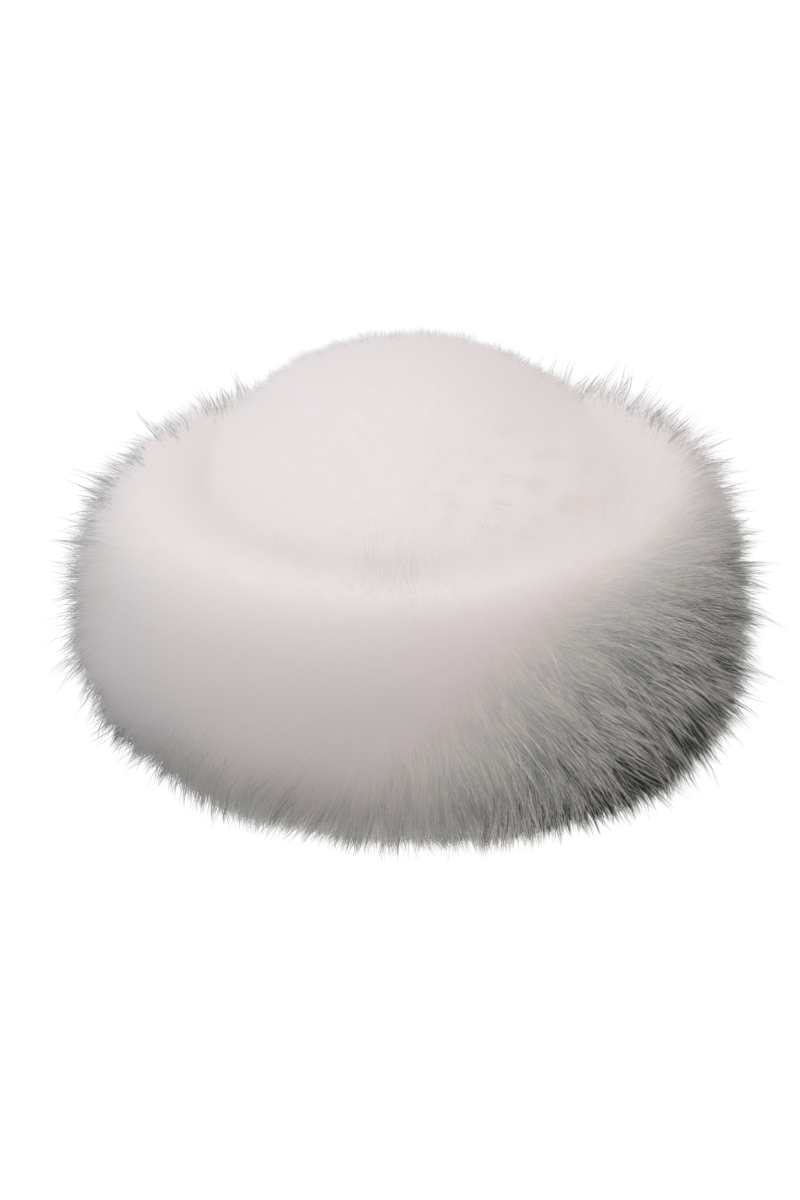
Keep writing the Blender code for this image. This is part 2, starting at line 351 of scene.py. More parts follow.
# Painted shade: the underfur goes from white to a shadow grey as far as the fur over it is parted.
depth = add_node(tree, "ShaderNodeAttribute", attribute_name="parting_shade_depth").outputs["Fac"]
tree.links.new(colour_ramp(tree, depth, [(0.0, FUR_WHITE), (1.0, FUR_SHADOW)]),
               shader.inputs["Base Color"])
tree.links.new(add_nap(tree, scale=DOWN_FUZZ, strength=0.25, height=0.0006), shader.inputs["Normal"])
shader.inputs["Roughness"].default_value = 0.95
shader.inputs["Specular IOR Level"].default_value = 0.0
crown_lining = evenly(crown_rows(SEAM_GAP, CROWN_FUR_BOTTOM), SKIN_ROWS)[::-1]
crown_skin = add_skin("crown_underfur", crown_place, crown_lit, crown_lining, down)
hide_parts("crown_fur")


# The crown's hair. Fine guard hair, about a centimetre long, is combed down from the peak.
# It gathers in small soft tufts, matted into curls low on the wearer's left.

CROWN_TUFTS = 4600
CROWN_TUFT_HAIRS = 11
CROWN_TUFT_SPREAD = 0.0022
CROWN_TUFT_LENGTHS = (0.8, 1.15)
CROWN_HAIR_LENGTHS = (0.75, 1.1)
CROWN_HAIR_LENGTH = 0.0125
CROWN_HAIR_WIDTH = 0.00038
CROWN_HAIR_STEPS = 2
CROWN_LEAN = (math.radians(20), math.radians(54))
CROWN_SWERVE = 0.5
CROWN_SWERVE_SIZE = 0.05
CROWN_TUFT_SWERVE = 0.45
CROWN_TUFT_BEND = 0.12
CROWN_FRAY = 0.22
CROWN_REACH = (0.7, 1.05)
CROWN_PULL = (0.0, 0.75)
CROWN_ROOTS_SUNK = 0.0012
CROWN_NEAREST_PEAK = 0.004
CROWN_SEED = 21
CROWN_OWN_NORMAL = 0.01
CURLS_AT = (0.045, -0.075, 0.145)
CURLS_SIZE = (0.040, 0.060, 0.022)
CURLS_EDGE = (-1.6, -0.3)
CURL_SIZE = 0.012
CURLS_DEPTH = 0.045
# Painted shade, cream to beige, in the small hollow where the crown meets the cuff in front.
HOLLOW_AT = (-0.006, -0.122, 0.125)
HOLLOW_SIZE = (0.018, 0.020, 0.014)
HOLLOW_SHADE_DEPTH = 0.050
# Painted rim shade: the tips are painted grey where the fur turns away from the front, as hair in shade at
# the rim.
CROWN_RIM_SHADE_LEAD = 0.10
CROWN_RIM_SHADE = 0.42
CROWN_RIM_SHADE_ENDS = (0.10, 0.75)
CROWN_RIM_SHADE_ABOVE = (0.55, 0.75)
CROWN_STRAYS = 0.12
STRAY_LONGER = 1.12
STRAY_RISES = math.radians(14)
RIM_SHADE_FACES = np.array((0.0, -0.934, 0.358))
RIM_SHADE_GROWS = (-0.10, 0.06)
RIM_SHADE_HAIRS = 0.85
RIM_SHADE_REST = 0.30
RIM_SHADE_RANGE = (0.6, 1.2)
# Cream and beige serve the crown's matted curls, and also the painted shade in the hollow and where the
# fur first parts.
FUR_CREAM = (0.84, 0.765, 0.71, 1.0)
FUR_BEIGE = (0.742, 0.738, 0.705, 1.0)
# Painted shade: the greys and near blacks below stand for fur in shadow, darkest at the roots.
FUR_HALF_SHADE = (0.56, 0.595, 0.55, 1.0)
SHADED_BODY = (0.060, 0.068, 0.063, 1.0)
SHADED_TIP = (0.12, 0.135, 0.125, 1.0)
DEEPEST_SHADE_ROOT = (0.020, 0.023, 0.021, 1.0)
DEEPEST_SHADE_BODY = (0.030, 0.034, 0.032, 1.0)
DEEPEST_SHADE_TIP = (0.075, 0.085, 0.079, 1.0)
# Painted rim shade: the greys of the roots and tips of fur in shade at the rim.
RIM_SHADE_TIP = (0.26, 0.285, 0.26, 1.0)
RIM_SHADE_GREY = (0.40, 0.44, 0.42, 1.0)
CREAM_AT = 0.045
BEIGE_AT = 0.09
HALF_SHADE_AT = 0.30
DEEPEST_SHADE_AT = 2.0
DEPTH_VARIES = 0.20
DEPTH_LIMIT = 1.6
HALF_TONES = 0.48
PARTED_SHADE_LEAST = 0.002
RIM_WHITE_LEAST = 0.004
EVERYWHERE_PARTED_SHADE = 0.01
WIDTHS = (0.7, 1.3)
TAPER_POWER = 0.6
GATHER_POWER = 1.2
ROLL_LIMIT = math.radians(70)
LEAST_HEIGHT = 0.0006
UV_HALF_WIDTH = 0.0015
UV_MARGIN = 0.002
UV_ENDS = 0.02
BODY_WITHIN = (0.10, 0.60)
TIP_WITHIN = (0.55, 0.95)
HAIR_TRANSLUCENCE = 0.1
OUTLOOK_RISE = 0.065
WAVES = 8
WAVE_SIZES = (0.6, 1.5)


def ripple(places, size, rng):
    """Smooth noise of about unit height: a sum of waves of that size in several random directions."""
    ways = unit(rng.normal(size=(WAVES, 3))) * (2 * math.pi / size)
    ways *= rng.uniform(*WAVE_SIZES, (WAVES, 1))
    return np.sin(places @ ways.T + rng.uniform(0, 2 * math.pi, WAVES)).sum(axis=1) / 2


def scatter(profile, turns, count, rng):
    """Turns and shares spread evenly over a pelt's area, between two turns.

    A share is drawn as often as the pelt is wide there, by the running sum of its distances from
    the hat's middle.
    """
    girth = np.cumsum((half_width + profile[:, 0]) * profile[:, 2] + 1e-6)
    share = np.interp(rng.random(count), girth / girth[-1], np.linspace(0.0, 1.0, len(profile)))
    return rng.uniform(*turns, count), share


def grow(root, normal, comb, length, lean, steps):
    """Hair paths: steps of equal length that turn from the normal over to the combed direction.

    The angle from the normal grows evenly from the first of lean to the second.
    """
    path = [root]
    for k in range(steps):
        angle = lean[0] + (lean[1] - lean[0]) * (k + 0.5) / steps
        way = normal * np.cos(angle)[:, None] + comb * np.sin(angle)[:, None]
        path.append(path[-1] + unit(way) * (length / steps)[:, None])
    return np.stack(path, axis=1)


def gather(paths, leaders, share, pull):
    """Draws each hair's points over to the same share of its leader's path, most at the tip."""
    along = np.linspace(0.0, 1.0, paths.shape[1]) ** GATHER_POWER
    aim = leaders[:, :1] + (leaders - leaders[:, :1]) * share[:, None, None]
    return paths + (aim - paths) * (pull[:, None] * along)[..., None]


def hollow_shade(places):
    """How much creamy painted shade the fur takes in a small hollow before the crown, by a bell curve."""
    return HOLLOW_SHADE_DEPTH * np.exp(-(((places - HOLLOW_AT) / HOLLOW_SIZE) ** 2).sum(axis=1))


def hair_tone(parting_shade, depth, rim_shade, rng):
    """The hair's place among the tones: parted fur with painted shade in the lower half, and tips
    painted grey as rim shade in the upper.

    Parted fur is as dark as its parting and shade times its depth, which is near 0 for light wisps
    and 1 or more for the shaded fur between them. A grey tip is chosen where there is more rim
    shade than parting.
    """
    count = len(parting_shade)
    depth = np.clip(depth + rng.normal(0, DEPTH_VARIES, count), 0.0, DEPTH_LIMIT)
    parted_shade = HALF_TONES * np.clip(parting_shade * depth / DEEPEST_SHADE_AT, PARTED_SHADE_LEAST, 1.0)
    rim_shade = rim_shade * np.where(rng.random(count) < RIM_SHADE_HAIRS, 1.0, RIM_SHADE_REST)
    white = np.clip(1 - rim_shade * rng.uniform(*RIM_SHADE_RANGE, count), RIM_WHITE_LEAST, 1.0)
    return np.where(rim_shade > parting_shade, 1 - HALF_TONES * white, parted_shade)


def beside(places):
    """How far the places lie from the hat's upright middle line, as level vectors."""
    return (places - (middle.x, middle.y, 0)) * (1, 1, 0)


def ribbon_parts(paths, width, roll, normal, own_share, tone):
    """Points, triangles, UVs and normals of tapered ribbons, one along each path.

    Each side point lies half the width to a side, which is turned about the hair by roll. The
    width is the given one times a power of the length that is left to the tip. The faces are wound
    to look away from the hat and a little upwards.
    UV x is the hair's tone, and y runs from root to tip. A point's normal is the given one, mixed
    with own_share of the ribbon's own.
    """
    count, knots = paths.shape[:2]
    along = unit(np.gradient(paths, axis=1))
    flat = unit(np.cross(along, normal[:, None]))
    side = flat * np.cos(roll)[:, None, None] + np.cross(flat, along) * np.sin(roll)[:, None, None]
    own = unit(np.cross(side, along))
    outlook = beside(paths[:, 0]) + (0, 0, OUTLOOK_RISE)
    wound = np.where((own.mean(axis=1) * outlook).sum(axis=1) < 0, -1.0, 1.0)
    taper = (1 - np.linspace(0.0, 1.0, knots)) ** TAPER_POWER
    half = side * ((wound * width)[:, None] * taper / 2)[..., None]
    left, right = (paths - half)[:, :-1], (paths + half)[:, :-1]
    sides = np.stack([left, right], axis=2).reshape(count, -1, 3)
    points = np.concatenate([sides, paths[:, -1:]], axis=1)
    tip = 2 * (knots - 1)
    pattern = []
    for k in range(knots - 2):
        pattern += [(2 * k, 2 * k + 1, 2 * k + 3), (2 * k, 2 * k + 3, 2 * k + 2)]
    pattern.append((tip - 2, tip - 1, tip))
    faces = np.array(pattern) + (np.arange(count) * (tip + 1))[:, None, None]
    rise = np.concatenate([np.repeat(np.linspace(0.0, 1.0, knots)[:-1], 2), [1.0]])
    sway = np.concatenate([np.tile([-1.0, 1.0], knots - 1), [0.0]]) * UV_HALF_WIDTH
    rise = np.broadcast_to(UV_ENDS + (1 - 2 * UV_ENDS) * rise, (count, tip + 1))
    uv = np.stack([np.clip(tone, UV_MARGIN, 1 - UV_MARGIN)[:, None] + sway, rise], axis=-1)
    own = np.concatenate([np.repeat(own[:, :-1], 2, axis=1), own[:, -1:]], axis=1)
    own_share = own_share[:, None, None]
    normals = unit(normal[:, None] * (1 - own_share) + own * own_share)
    return points.reshape(-1, 3), faces.reshape(-1, 3), uv.reshape(-1, 2), normals.reshape(-1, 3)


def add_hair(name, parts, finish, stands_for):
    """One piece of hair out of several groups of ribbons."""
    offsets = np.cumsum([0] + [len(part[0]) for part in parts[:-1]])
    points, uv, normals = (np.concatenate([part[i] for part in parts]) for i in (0, 2, 3))
    faces = np.concatenate([part[1] + offset for part, offset in zip(parts, offsets)])
    points[:, 2] = np.maximum(points[:, 2], LEAST_HEIGHT)
    made = add_mesh(name, points, faces, uv[faces.ravel()], finish)
    made.data.normals_split_custom_set_from_vertices(normals.astype(np.float32))
    spare_bounces(made)
    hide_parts(stands_for)
    return made


def blend(tree, factor, first, second):
    """The first colour, which goes over to the second as factor grows from 0 to 1."""
    node = add_node(tree, "ShaderNodeMix", data_type="RGBA")
    first_colour, second_colour = [socket for socket in node.inputs if socket.type == "RGBA"]
    tree.links.new(factor, node.inputs["Factor"])
    tree.links.new(first, first_colour)
    tree.links.new(second, second_colour)
    return next(socket for socket in node.outputs if socket.type == "RGBA")


def switch(tree, value, within):
    """Black below the first of within and white above the second, as a mask."""
    black, white = (0.0, 0.0, 0.0, 1.0), (1.0, 1.0, 1.0, 1.0)
    return colour_ramp(tree, value, [(within[0], black), (within[1], white)])


fur, tree, shader = fresh_material("fox_hair")
uv = add_node(tree, "ShaderNodeUVMap", uv_map="OFBake").outputs["UV"]
split = add_node(tree, "ShaderNodeSeparateXYZ")
tree.links.new(uv, split.inputs["Vector"])
tone, rise = split.outputs["X"], split.outputs["Y"]
# The ramps go from white over painted shade to the darkest parted fur, then from white to the painted grey
# of the rim.
parted_shade, rim_shade_starts = HALF_TONES / DEEPEST_SHADE_AT, 1 - HALF_TONES
light_tones = [(0.0, FUR_WHITE), (CREAM_AT * parted_shade, FUR_CREAM), (BEIGE_AT * parted_shade, FUR_BEIGE),
               (HALF_SHADE_AT * parted_shade, FUR_HALF_SHADE)]
root_tone, body_tone, tip_tone = (
    colour_ramp(tree, tone, light_tones + [(parted_shade, dark), (HALF_TONES, deepest), (rim_shade_starts, FUR_WHITE),
                                           (1.0, rim_shaded)])
    for dark, deepest, rim_shaded in ((FUR_SHADOW, DEEPEST_SHADE_ROOT, RIM_SHADE_GREY),
                                    (SHADED_BODY, DEEPEST_SHADE_BODY, RIM_SHADE_GREY),
                                    (SHADED_TIP, DEEPEST_SHADE_TIP, RIM_SHADE_TIP))
)
# In the shaded tones the roots are painted darker than the tips, as shade deep in the fur.
lower_hair = blend(tree, switch(tree, rise, BODY_WITHIN), root_tone, body_tone)
coat = blend(tree, switch(tree, rise, TIP_WITHIN), lower_hair, tip_tone)
tree.links.new(coat, shader.inputs["Base Color"])
fur.cycles.use_bump_map_correction = False
facing = add_node(tree, "ShaderNodeNewGeometry")
turned = add_node(tree, "ShaderNodeMath", operation="MULTIPLY_ADD")
turned.inputs[1].default_value = -2.0
turned.inputs[2].default_value = 1.0
outward = add_node(tree, "ShaderNodeVectorMath", operation="SCALE")
tree.links.new(facing.outputs["Backfacing"], turned.inputs[0])
tree.links.new(facing.outputs["Normal"], outward.inputs["Vector"])
tree.links.new(turned.outputs["Value"], outward.inputs["Scale"])
tree.links.new(outward.outputs["Vector"], shader.inputs["Normal"])
shader.inputs["Roughness"].default_value = 0.9
shader.inputs["Specular IOR Level"].default_value = 0.0
through = add_node(tree, "ShaderNodeBsdfTranslucent")
mixed = add_node(tree, "ShaderNodeMixShader")
mixed.inputs["Fac"].default_value = HAIR_TRANSLUCENCE
inward = add_node(tree, "ShaderNodeVectorMath", operation="SCALE")
inward.inputs["Scale"].default_value = -1.0
tree.links.new(outward.outputs["Vector"], inward.inputs["Vector"])
tree.links.new(inward.outputs["Vector"], through.inputs["Normal"])
tree.links.new(coat, through.inputs["Color"])
tree.links.new(shader.outputs["BSDF"], mixed.inputs[1])
tree.links.new(through.outputs["BSDF"], mixed.inputs[2])
tree.links.new(mixed.outputs["Shader"], tree.nodes["Material Output"].inputs["Surface"])

rng = np.random.default_rng(CROWN_SEED)
turn, share = scatter(crown_profile, (-math.pi, math.pi), CROWN_TUFTS, rng)
root, normal, along, around = surface_frame(crown_place, turn, np.maximum(share, CROWN_NEAREST_PEAK))
swerve = CROWN_SWERVE * ripple(root, CROWN_SWERVE_SIZE, rng)
swerve += rng.normal(0, CROWN_TUFT_SWERVE, CROWN_TUFTS)
comb = along * np.cos(swerve)[:, None] + around * np.sin(swerve)[:, None]
length = CROWN_HAIR_LENGTH * rng.uniform(*CROWN_TUFT_LENGTHS, CROWN_TUFTS)
bend = rng.normal(0, CROWN_TUFT_BEND, CROWN_TUFTS)
stray = np.random.default_rng(CROWN_SEED + 1).random(CROWN_TUFTS) < CROWN_STRAYS
length *= np.where(stray, STRAY_LONGER, 1.0)
bend -= np.where(stray, STRAY_RISES, 0.0)
leaders = grow(root, normal, comb, length, (CROWN_LEAN[0] + bend, CROWN_LEAN[1] + bend),
               CROWN_HAIR_STEPS)
own = np.repeat(np.arange(CROWN_TUFTS), CROWN_TUFT_HAIRS)
count = len(own)
spread = rng.normal(0, CROWN_TUFT_SPREAD, (count, 2))
roots = root[own] + along[own] * spread[:, :1] + around[own] * spread[:, 1:]
roots -= normal[own] * CROWN_ROOTS_SUNK
fray = rng.normal(0, CROWN_FRAY, (count, 3))
rise = np.where(stray, STRAY_RISES, 0.0)[own]
paths = grow(roots, unit(normal[own] + fray), comb[own],
             length[own] * rng.uniform(*CROWN_HAIR_LENGTHS, count),
             (CROWN_LEAN[0] - rise, CROWN_LEAN[1] - rise), CROWN_HAIR_STEPS)
paths = gather(paths, leaders[own], rng.uniform(*CROWN_REACH, count), rng.uniform(*CROWN_PULL, count))
width = CROWN_HAIR_WIDTH * rng.uniform(*WIDTHS, count)
lit = crown_lit(normal, share)[own]
curls = ease(-np.linalg.norm((roots - CURLS_AT) / CURLS_SIZE, axis=1), *CURLS_EDGE)
curls *= CURLS_DEPTH * np.clip(ripple(roots, CURL_SIZE, rng), 0.0, 1.0)
# Painted rim shade on the crown's tips, where it turns away from the front, fading towards its lower edge.
away = CROWN_RIM_SHADE_LEAD - normal @ RIM_SHADE_FACES
rim_shade = CROWN_RIM_SHADE * ease(away, *RIM_SHADE_GROWS) * (1 - ease(away, *CROWN_RIM_SHADE_ENDS))
rim_shade *= 1 - ease(share, *CROWN_RIM_SHADE_ABOVE)
tone = hair_tone(EVERYWHERE_PARTED_SHADE + curls + hollow_shade(roots), np.ones(count), rim_shade[own], rng)
roll = rng.uniform(-ROLL_LIMIT, ROLL_LIMIT, count)
parts = [ribbon_parts(paths, width, roll, lit, np.full(count, CROWN_OWN_NORMAL), tone)]
add_hair("crown_hair", parts, fur, "crown_fur")


# The cuff's underfur. A deep fox pelt is rolled up round the crown, fuller at the front and sides.
# Under the long hair lies one thick, rounded cushion of down, which closes on the hide inside.

BAND_FACE = 0.0031
CREST_OUT = 0.0245
CREST_HEIGHT = 0.130
WIDEST_OUT = 0.0575
WIDEST_HEIGHT = 0.060
FOOT_OUT = 0.0110
VALLEY_POWER = 2.0
OUTLINE_POWER = 2.3
FOOT_POWER = 1.75
STEP_HEIGHT = 0.1003
CUFF_HIGHER_BACK = 0.024
CUFF_HIGHER_RIGHT = 0.016
FOOT_FULLER_RIGHT = 0.0025
FOOT_FULLER_FRONT = 0.0055
FRONT_RIGHT = np.array((0.75, -0.66))
FOOT_FULLER_WITHIN = (0.50, 0.85)
CUFF_FULLER_LEFT = 0.0025
LEFT_FULLER_FROM = (0.10, 0.30)
LEFT_FULLER_TO = (0.50, 0.70)
VALLEY_LEFT_BY = (0.06, 0.20)
FOOT_UPWARD = 3.0
FOOT_NEARS = (0.68, 1.0)


def rounded_quarter(centre, half_out, half_up, power):
    """Rows along a quarter of a rounded oblong, from straight above centre to straight beside it.

    They go out by the sine of a turn and up by its cosine, each to the power of 2 over power.
    """
    turns = np.linspace(0.0, math.pi / 2, PROFILE_STEPS)
    out = centre[0] + half_out * np.sin(turns) ** (2 / power)
    height = centre[1] + half_up * np.cos(turns) ** (2 / power)
    return np.stack([out, height, np.ones_like(out)], axis=1)


inner = rounded_quarter((CREST_OUT, VALLEY_HEIGHT), VALLEY_OUT - CREST_OUT,
                        CREST_HEIGHT - VALLEY_HEIGHT, VALLEY_POWER)
upper = rounded_quarter((CREST_OUT, WIDEST_HEIGHT), WIDEST_OUT - CREST_OUT,
                        CREST_HEIGHT - WIDEST_HEIGHT, OUTLINE_POWER)
lower = rounded_quarter((FOOT_OUT, WIDEST_HEIGHT), WIDEST_OUT - FOOT_OUT, -WIDEST_HEIGHT,
                        FOOT_POWER)
cuff_profile = evenly(np.concatenate([inner[::-1], upper[1:], lower[-2::-1]]), PROFILE_STEPS)


def cuff_place(turn, share):
    """Places on the cuff's down, from the valley by the crown at share 0 to the foot at 1.

    Heights grow by small shares towards the back and the right, and shrink opposite. The foot is
    pushed out a little at the front and the right, and the side above it on the left.
    """
    place = on_profile(cuff_profile, turn, share)
    level = unit(place[..., :2] - np.array(middle.xy))
    place[..., 2] *= 1 + CUFF_HIGHER_BACK * level[..., 1] + CUFF_HIGHER_RIGHT * level[..., 0]
    fuller = FOOT_FULLER_RIGHT * level[..., 0]
    fuller += FOOT_FULLER_FRONT * np.maximum(level @ FRONT_RIGHT, 0) ** 2
    fuller *= ease(share, *FOOT_FULLER_WITHIN)
    fuller -= (CUFF_FULLER_LEFT * np.minimum(level[..., 0], 0.0) * ease(share, *LEFT_FULLER_FROM)
               * (1 - ease(share, *LEFT_FULLER_TO)))
    place[..., :2] += level * fuller[..., None]
    return place


def cuff_lit(normal, share):
    """The direction the cuff's fur is shaded from: its normal turned up in the valley and at the foot."""
    return turned_up(normal, VALLEY_UPWARD * (1 - ease(share, *VALLEY_LEFT_BY))
                     + FOOT_UPWARD * ease(share, *FOOT_NEARS))


inside = np.array([(BAND_FACE, 0.0, 1.0), (BAND_FACE, STEP_HEIGHT, 1.0), (VALLEY_OUT, STEP_HEIGHT, 1.0)])
cuff_skin = add_skin("cuff_underfur", cuff_place, cuff_lit, inside, down)
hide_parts("cuff_fur")


# The cuff's hair. Long guard hair over dense down stands out from the roll and is brushed
# downwards. It parts into pointed tufts, and at the foot it spreads over whatever it stands on.

CUFF_SECTORS = {"front": -0.5, "right": 0.0, "back": 0.5, "left": 1.0}
CUFF_TUFTS = 4300
TUFT_DOWN_HAIRS = 6
TUFT_GUARD_HAIRS = 5
CUFF_TUFT_SPREAD = 0.0022
CUFF_SEED = 40
CUFF_HAIR_WIDTH = 0.00038
CUFF_TUFT_LENGTHS = (0.78, 1.0)
CUFF_HAIR_LENGTHS = (0.62, 1.08)
CUFF_ROOTS = (0.003, 0.985)
CUFF_ROOTS_SUNK = 0.001
CUFF_LENGTHS = ((0.0, 0.0140), (0.10, 0.0220), (0.60, 0.0240), (0.85, 0.0195), (1.0, 0.0120))
CUFF_ROOT_LEANS = ((0.0, 12.0), (0.12, 8.0), (0.45, 12.0), (0.7, 24.0), (0.9, 52.0), (1.0, 60.0))
CUFF_TIP_LEANS = ((0.0, 30.0), (0.12, 32.0), (0.45, 46.0), (0.7, 58.0), (0.9, 82.0), (1.0, 88.0))
FOOT_TURNS_FROM = 0.70
FOOT_TURNS_TO = 0.90
REACH_TO_GROUND = 0.90
SHORTEST_HAIR = 0.004
DOWN_REACH = 0.70
CUFF_SWERVE = 0.28
CUFF_SWERVE_SIZE = 0.07
FINE_SWERVE = 0.6
FINE_SWERVE_SIZE = 0.022
TUFT_SWERVE = 0.20
SWEPT_BACK = 0.50
CUFF_BEND = 0.10
CUFF_BEND_SIZE = 0.03
TUFT_BEND = 0.16
CUFF_FRAY = 0.16
LOOSE_PULL = 0.9
GATHERED = 0.7
# Painted shade in the parted fur: some tufts stay light, the rest are painted dark as fur in shadow, fewer
# light ones where it is deepest.
LIT_WISPS = 0.68
FEWER_LIT = 0.46
FEWER_LIT_WITHIN = (0.7, 1.8)
LIT_WISP_SHADE = (0.04, 0.36)
SHADED_WISPS = 1.25
WISP_TIGHTNESS = 0.40
WISP_LONGER = 0.08
CUFF_RIM_SHADE_LEAD = 0.13
RIM_SHADE_UNEVEN = 0.05
RIM_SHADE_UNEVEN_SIZE = 0.025
RIM_SHADE_COARSER = 0.25
RIM_SHADE_FADES = (0.15, 0.90)
RIM_SHADE_LOST = 0.60
RIM_SHADE_FROM = (0.03, 0.09)
RIM_SHADE_LATER_IN_FRONT = 0.09
RIM_SHADE_FRONT = (-0.2, 0.3)
RIM_SHADE_LOST_AT_RIGHT = 0.6
RIM_SHADE_RIGHT = (0.80, 0.98)
LONG_TUFTS = 0.22
LONG_TUFT_LENGTHS = (1.15, 1.65)
BACK_RIGHT = np.array((0.84, 0.54, 0.0))
BACK_RIGHT_WITHIN = (0.85, 0.98)
BACK_RIGHT_ABOVE = (0.3, 0.5)
LONGER_BACK_RIGHT = 0.50
OPEN_OWN_NORMAL = 0.30


def by_share(table, share):
    """Values from a table of (share, value)."""
    return np.interp(share, *zip(*table))


def rim_shade_share(normal, lead):
    """How grey the hair's tips are painted as rim shade: none in front, most at the rim, less behind it.
    """
    away = lead - normal @ RIM_SHADE_FACES
    return ease(away, *RIM_SHADE_GROWS) * (1 - RIM_SHADE_LOST * ease(away, *RIM_SHADE_FADES))


def add_cuff_sector(side, quarter):
    """The hair on a quarter of the cuff, centred on that many half turns from the right.

    Tufts stand along the normal and are combed down along the profile. Towards the foot they stand
    out level and are combed straight down, and there none is much longer than its root is high.
    """
    rng = np.random.default_rng([CUFF_SEED, int(4 * quarter) + 4])
    middle_turn = quarter * math.pi
    turn, share = scatter(cuff_profile, (middle_turn - math.pi / 4, middle_turn + math.pi / 4),
                          CUFF_TUFTS, rng)
    root, normal, along, around = surface_frame(cuff_place, turn, np.clip(share, *CUFF_ROOTS))
    level = unit(beside(root))
    low = ease(share, FOOT_TURNS_FROM, FOOT_TURNS_TO)[:, None]
    standing = unit(normal * (1 - low) + level * low)
    combed = unit(along * (1 - low) + np.array([0, 0, -1.0]) * low)
    lit = cuff_lit(normal, share)
    # Painted rim shade on the cuff's tips: none by the valley and starting lower in front, a little
    # uneven, and less at the right.
    later = RIM_SHADE_LATER_IN_FRONT * ease(-level[:, 1], *RIM_SHADE_FRONT)
    wave = np.random.default_rng(CUFF_SEED)
    swerve = CUFF_SWERVE * ripple(root, CUFF_SWERVE_SIZE, wave)
    swerve += CUFF_SWERVE * ripple(root, FINE_SWERVE_SIZE, wave) * FINE_SWERVE
    swerve += rng.normal(0, TUFT_SWERVE, CUFF_TUFTS) + SWEPT_BACK * level[:, 0]
    lead = CUFF_RIM_SHADE_LEAD + RIM_SHADE_UNEVEN * ripple(root, RIM_SHADE_UNEVEN_SIZE, wave)
    rim_shade = rim_shade_share(normal, lead) * ease(share - later, *RIM_SHADE_FROM)
    rim_shade *= 1 - RIM_SHADE_LOST_AT_RIGHT * ease(level[:, 0], *RIM_SHADE_RIGHT)
    comb = combed * np.cos(swerve)[:, None] + around * np.sin(swerve)[:, None]
    tuft_parting_shade = parting_and_shade(root)
    long = rng.random(CUFF_TUFTS) < LONG_TUFTS
    length = by_share(CUFF_LENGTHS, share) * rng.uniform(*CUFF_TUFT_LENGTHS, CUFF_TUFTS)
    length *= np.where(long, rng.uniform(*LONG_TUFT_LENGTHS, CUFF_TUFTS), 1.0)
    length *= 1 + WISP_LONGER * tuft_parting_shade
    longer = LONGER_BACK_RIGHT * ease(level @ BACK_RIGHT, *BACK_RIGHT_WITHIN)
    length *= 1 + longer * (1 - ease(share, *BACK_RIGHT_ABOVE)) * rng.random(CUFF_TUFTS)
    length = np.minimum(length, np.maximum(root[:, 2] * REACH_TO_GROUND, SHORTEST_HAIR))
    bend = CUFF_BEND * ripple(root, CUFF_BEND_SIZE, wave) + rng.normal(0, TUFT_BEND, CUFF_TUFTS)
    start = np.radians(by_share(CUFF_ROOT_LEANS, share)) + bend
    end = np.radians(by_share(CUFF_TIP_LEANS, share)) + bend
    parts = []
    # Light wisps over tufts and down that are painted dark as shade, where the fur parts.
    lit_tuft = rng.random(CUFF_TUFTS) < LIT_WISPS - FEWER_LIT * ease(tuft_parting_shade, *FEWER_LIT_WITHIN)
    wisp_shade = np.where(lit_tuft, rng.uniform(*LIT_WISP_SHADE, CUFF_TUFTS), SHADED_WISPS)
    hidden_shade = np.full(CUFF_TUFTS, 1.0)
    for hairs, steps, reach, depth in ((TUFT_DOWN_HAIRS, 2, DOWN_REACH, hidden_shade),
                                       (TUFT_GUARD_HAIRS, 3, 1.0, wisp_shade)):
        leaders = grow(root, standing, comb, length, (start, end), steps)
        own = np.repeat(np.arange(CUFF_TUFTS), hairs)
        count = len(own)
        spread = rng.normal(0, CUFF_TUFT_SPREAD, (count, 2))
        spread *= (1 - WISP_TIGHTNESS * tuft_parting_shade)[own, None]
        roots = root[own] + along[own] * spread[:, :1] + around[own] * spread[:, 1:]
        roots -= normal[own] * CUFF_ROOTS_SUNK
        fray = unit(standing[own] + rng.normal(0, CUFF_FRAY, (count, 3)))
        sizes = rng.uniform(*CUFF_HAIR_LENGTHS, count) * reach
        paths = grow(roots, fray, comb[own], length[own] * sizes, (start[own], end[own]), steps)
        parted_shade = parting_and_shade(roots)
        gathered = np.maximum(parted_shade, rim_shade[own])
        loose = 1 - LOOSE_PULL * rng.random(count) * (1 - GATHERED * gathered)
        paths = gather(paths, leaders[own], sizes, loose)
        width = CUFF_HAIR_WIDTH * rng.uniform(*WIDTHS, count) * (1 + RIM_SHADE_COARSER * rim_shade[own])
        tone = hair_tone(parted_shade + EVERYWHERE_PARTED_SHADE + hollow_shade(roots), depth[own], rim_shade[own], rng)
        roll = rng.uniform(-ROLL_LIMIT, ROLL_LIMIT, count)
        parts.append(ribbon_parts(paths, width, roll, lit[own], OPEN_OWN_NORMAL * parted_shade, tone))
    add_hair("cuff_hair_" + side, parts, fur, "cuff_fur")


for side, quarter in CUFF_SECTORS.items():
    add_cuff_sector(side, quarter)


# The table it stands on. It is a wide, plain, matt top, which glows a little, so that it looks
# as white as the backdrop and the hat's shadow on it is faint.

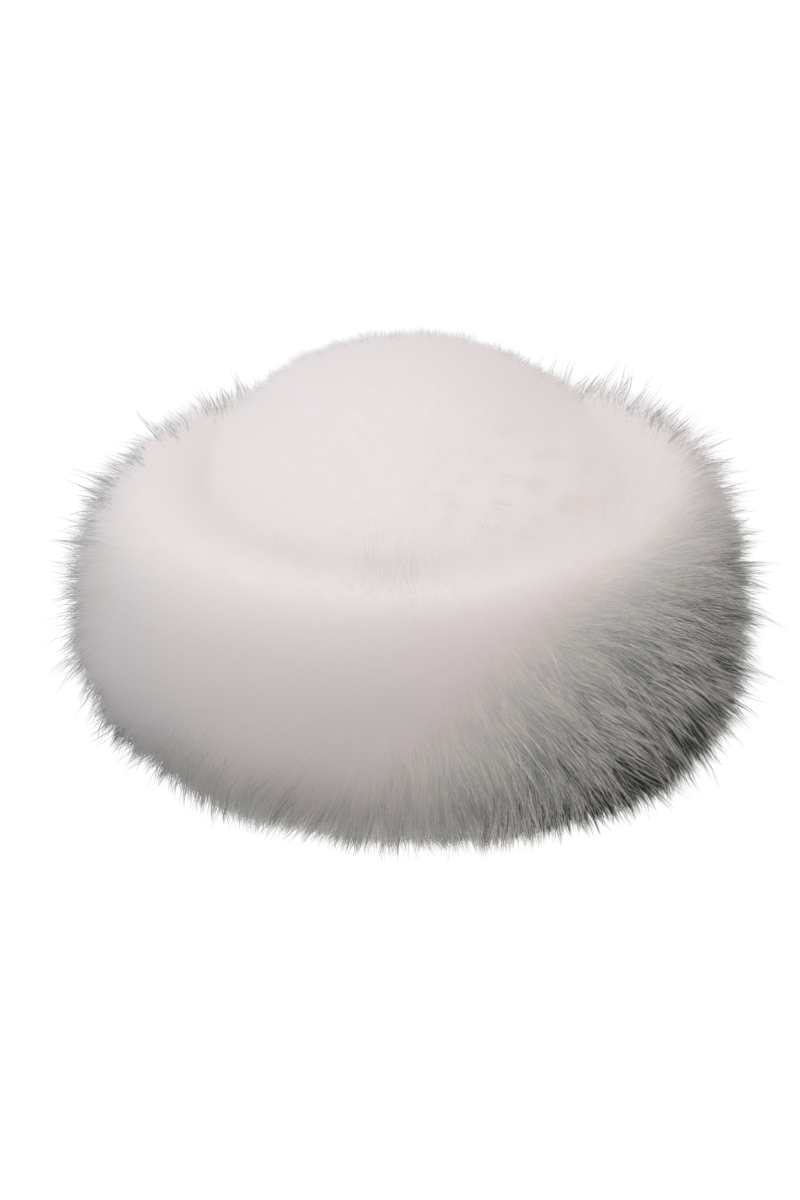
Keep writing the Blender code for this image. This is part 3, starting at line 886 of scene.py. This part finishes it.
FLOOR_HALF = 8.0
FLOOR_GREY = (0.26, 0.26, 0.26, 1.0)
FLOOR_GLOW = 0.82
FLOOR_CORNERS = ((-1, -1, 0), (1, -1, 0), (1, 1, 0), (-1, 1, 0))
floor_mesh = bpy.data.meshes.new("floor")
floor_mesh.from_pydata([FLOOR_HALF * Vector(corner) for corner in FLOOR_CORNERS], [], [(0, 1, 2, 3)])
floor = bpy.data.objects.new("floor", floor_mesh)
bpy.context.scene.collection.objects.link(floor)
floor_look, tree, shader = fresh_material("floor")
shader.inputs["Base Color"].default_value = FLOOR_GREY
shader.inputs["Roughness"].default_value = 0.9
shader.inputs["Specular IOR Level"].default_value = 0.0
shader.inputs["Emission Color"].default_value = (1.0, 1.0, 1.0, 1.0)
shader.inputs["Emission Strength"].default_value = FLOOR_GLOW
floor_mesh.materials.append(floor_look)
floor.visible_diffuse = False


# The light. Five very broad, soft lamps are set round the hat, as in a white studio: strong ones
# overhead, on the left and in front, and weak ones on the right and behind. The surround is white
# to look at and gives almost no light. Each lamp is given by where it lies, its strength and tint.

LIGHTS = {
    "overhead": ((0.0, 0.0, 1.0), 1.46, (0.985, 0.975, 1.0)),
    "left": ((-1.0, -0.15, 0.1), 1.52, (0.81, 0.92, 1.0)),
    "front": ((0.0, -1.0, 0.15), 1.57, (1.0, 0.88, 0.82)),
    "right": ((1.0, 0.0, 0.3), 0.34, (0.95, 0.96, 1.0)),
    "behind": ((0.0, 1.0, 0.3), 0.55, (0.98, 0.98, 1.0)),
}
LIGHT_SPREAD = math.radians(120)
SURROUND = 0.02
BACKDROP = 1.0


def aimed(obj, place, aim):
    """Puts a light or camera at place, pointing at aim."""
    obj.location = place
    obj.rotation_euler = (Vector(aim) - Vector(place)).to_track_quat("-Z", "Y").to_euler()
    bpy.context.scene.collection.objects.link(obj)


for name, (place, power, tint) in LIGHTS.items():
    lamp = bpy.data.lights.new(name, "SUN")
    lamp.angle = LIGHT_SPREAD
    lamp.energy = power
    lamp.color = tint
    lamp.cycles.use_multiple_importance_sampling = False
    aimed(bpy.data.objects.new(name, lamp), place, (0.0, 0.0, 0.0))

world = bpy.data.worlds.new("surround")
world.use_nodes = True
bpy.context.scene.world = world
sky = world.node_tree
background = sky.nodes["Background"]
background.inputs["Color"].default_value = (1.0, 1.0, 1.0, 1.0)
ray = add_node(sky, "ShaderNodeLightPath")
strength = add_node(sky, "ShaderNodeMix", A=SURROUND, B=BACKDROP)
sky.links.new(ray.outputs["Is Camera Ray"], strength.inputs["Factor"])
sky.links.new(strength.outputs["Result"], background.inputs["Strength"])
bpy.context.scene.view_settings.view_transform = "Standard"


# The camera. It looks through a long lens from straight in front, a little above the hat.

CAMERA_LENS = 100.0
CAMERA_DISTANCE = 1.6
CAMERA_ABOVE = math.radians(21)
CAMERA_AIM = Vector((-0.0048, 0.0, 0.070))

camera_data = bpy.data.cameras.new("camera")
camera_data.lens = CAMERA_LENS
camera = bpy.data.objects.new("camera", camera_data)
away = Vector((0.0, -math.cos(CAMERA_ABOVE), math.sin(CAMERA_ABOVE)))
aimed(camera, CAMERA_AIM + away * CAMERA_DISTANCE, CAMERA_AIM)
bpy.context.scene.camera = camera
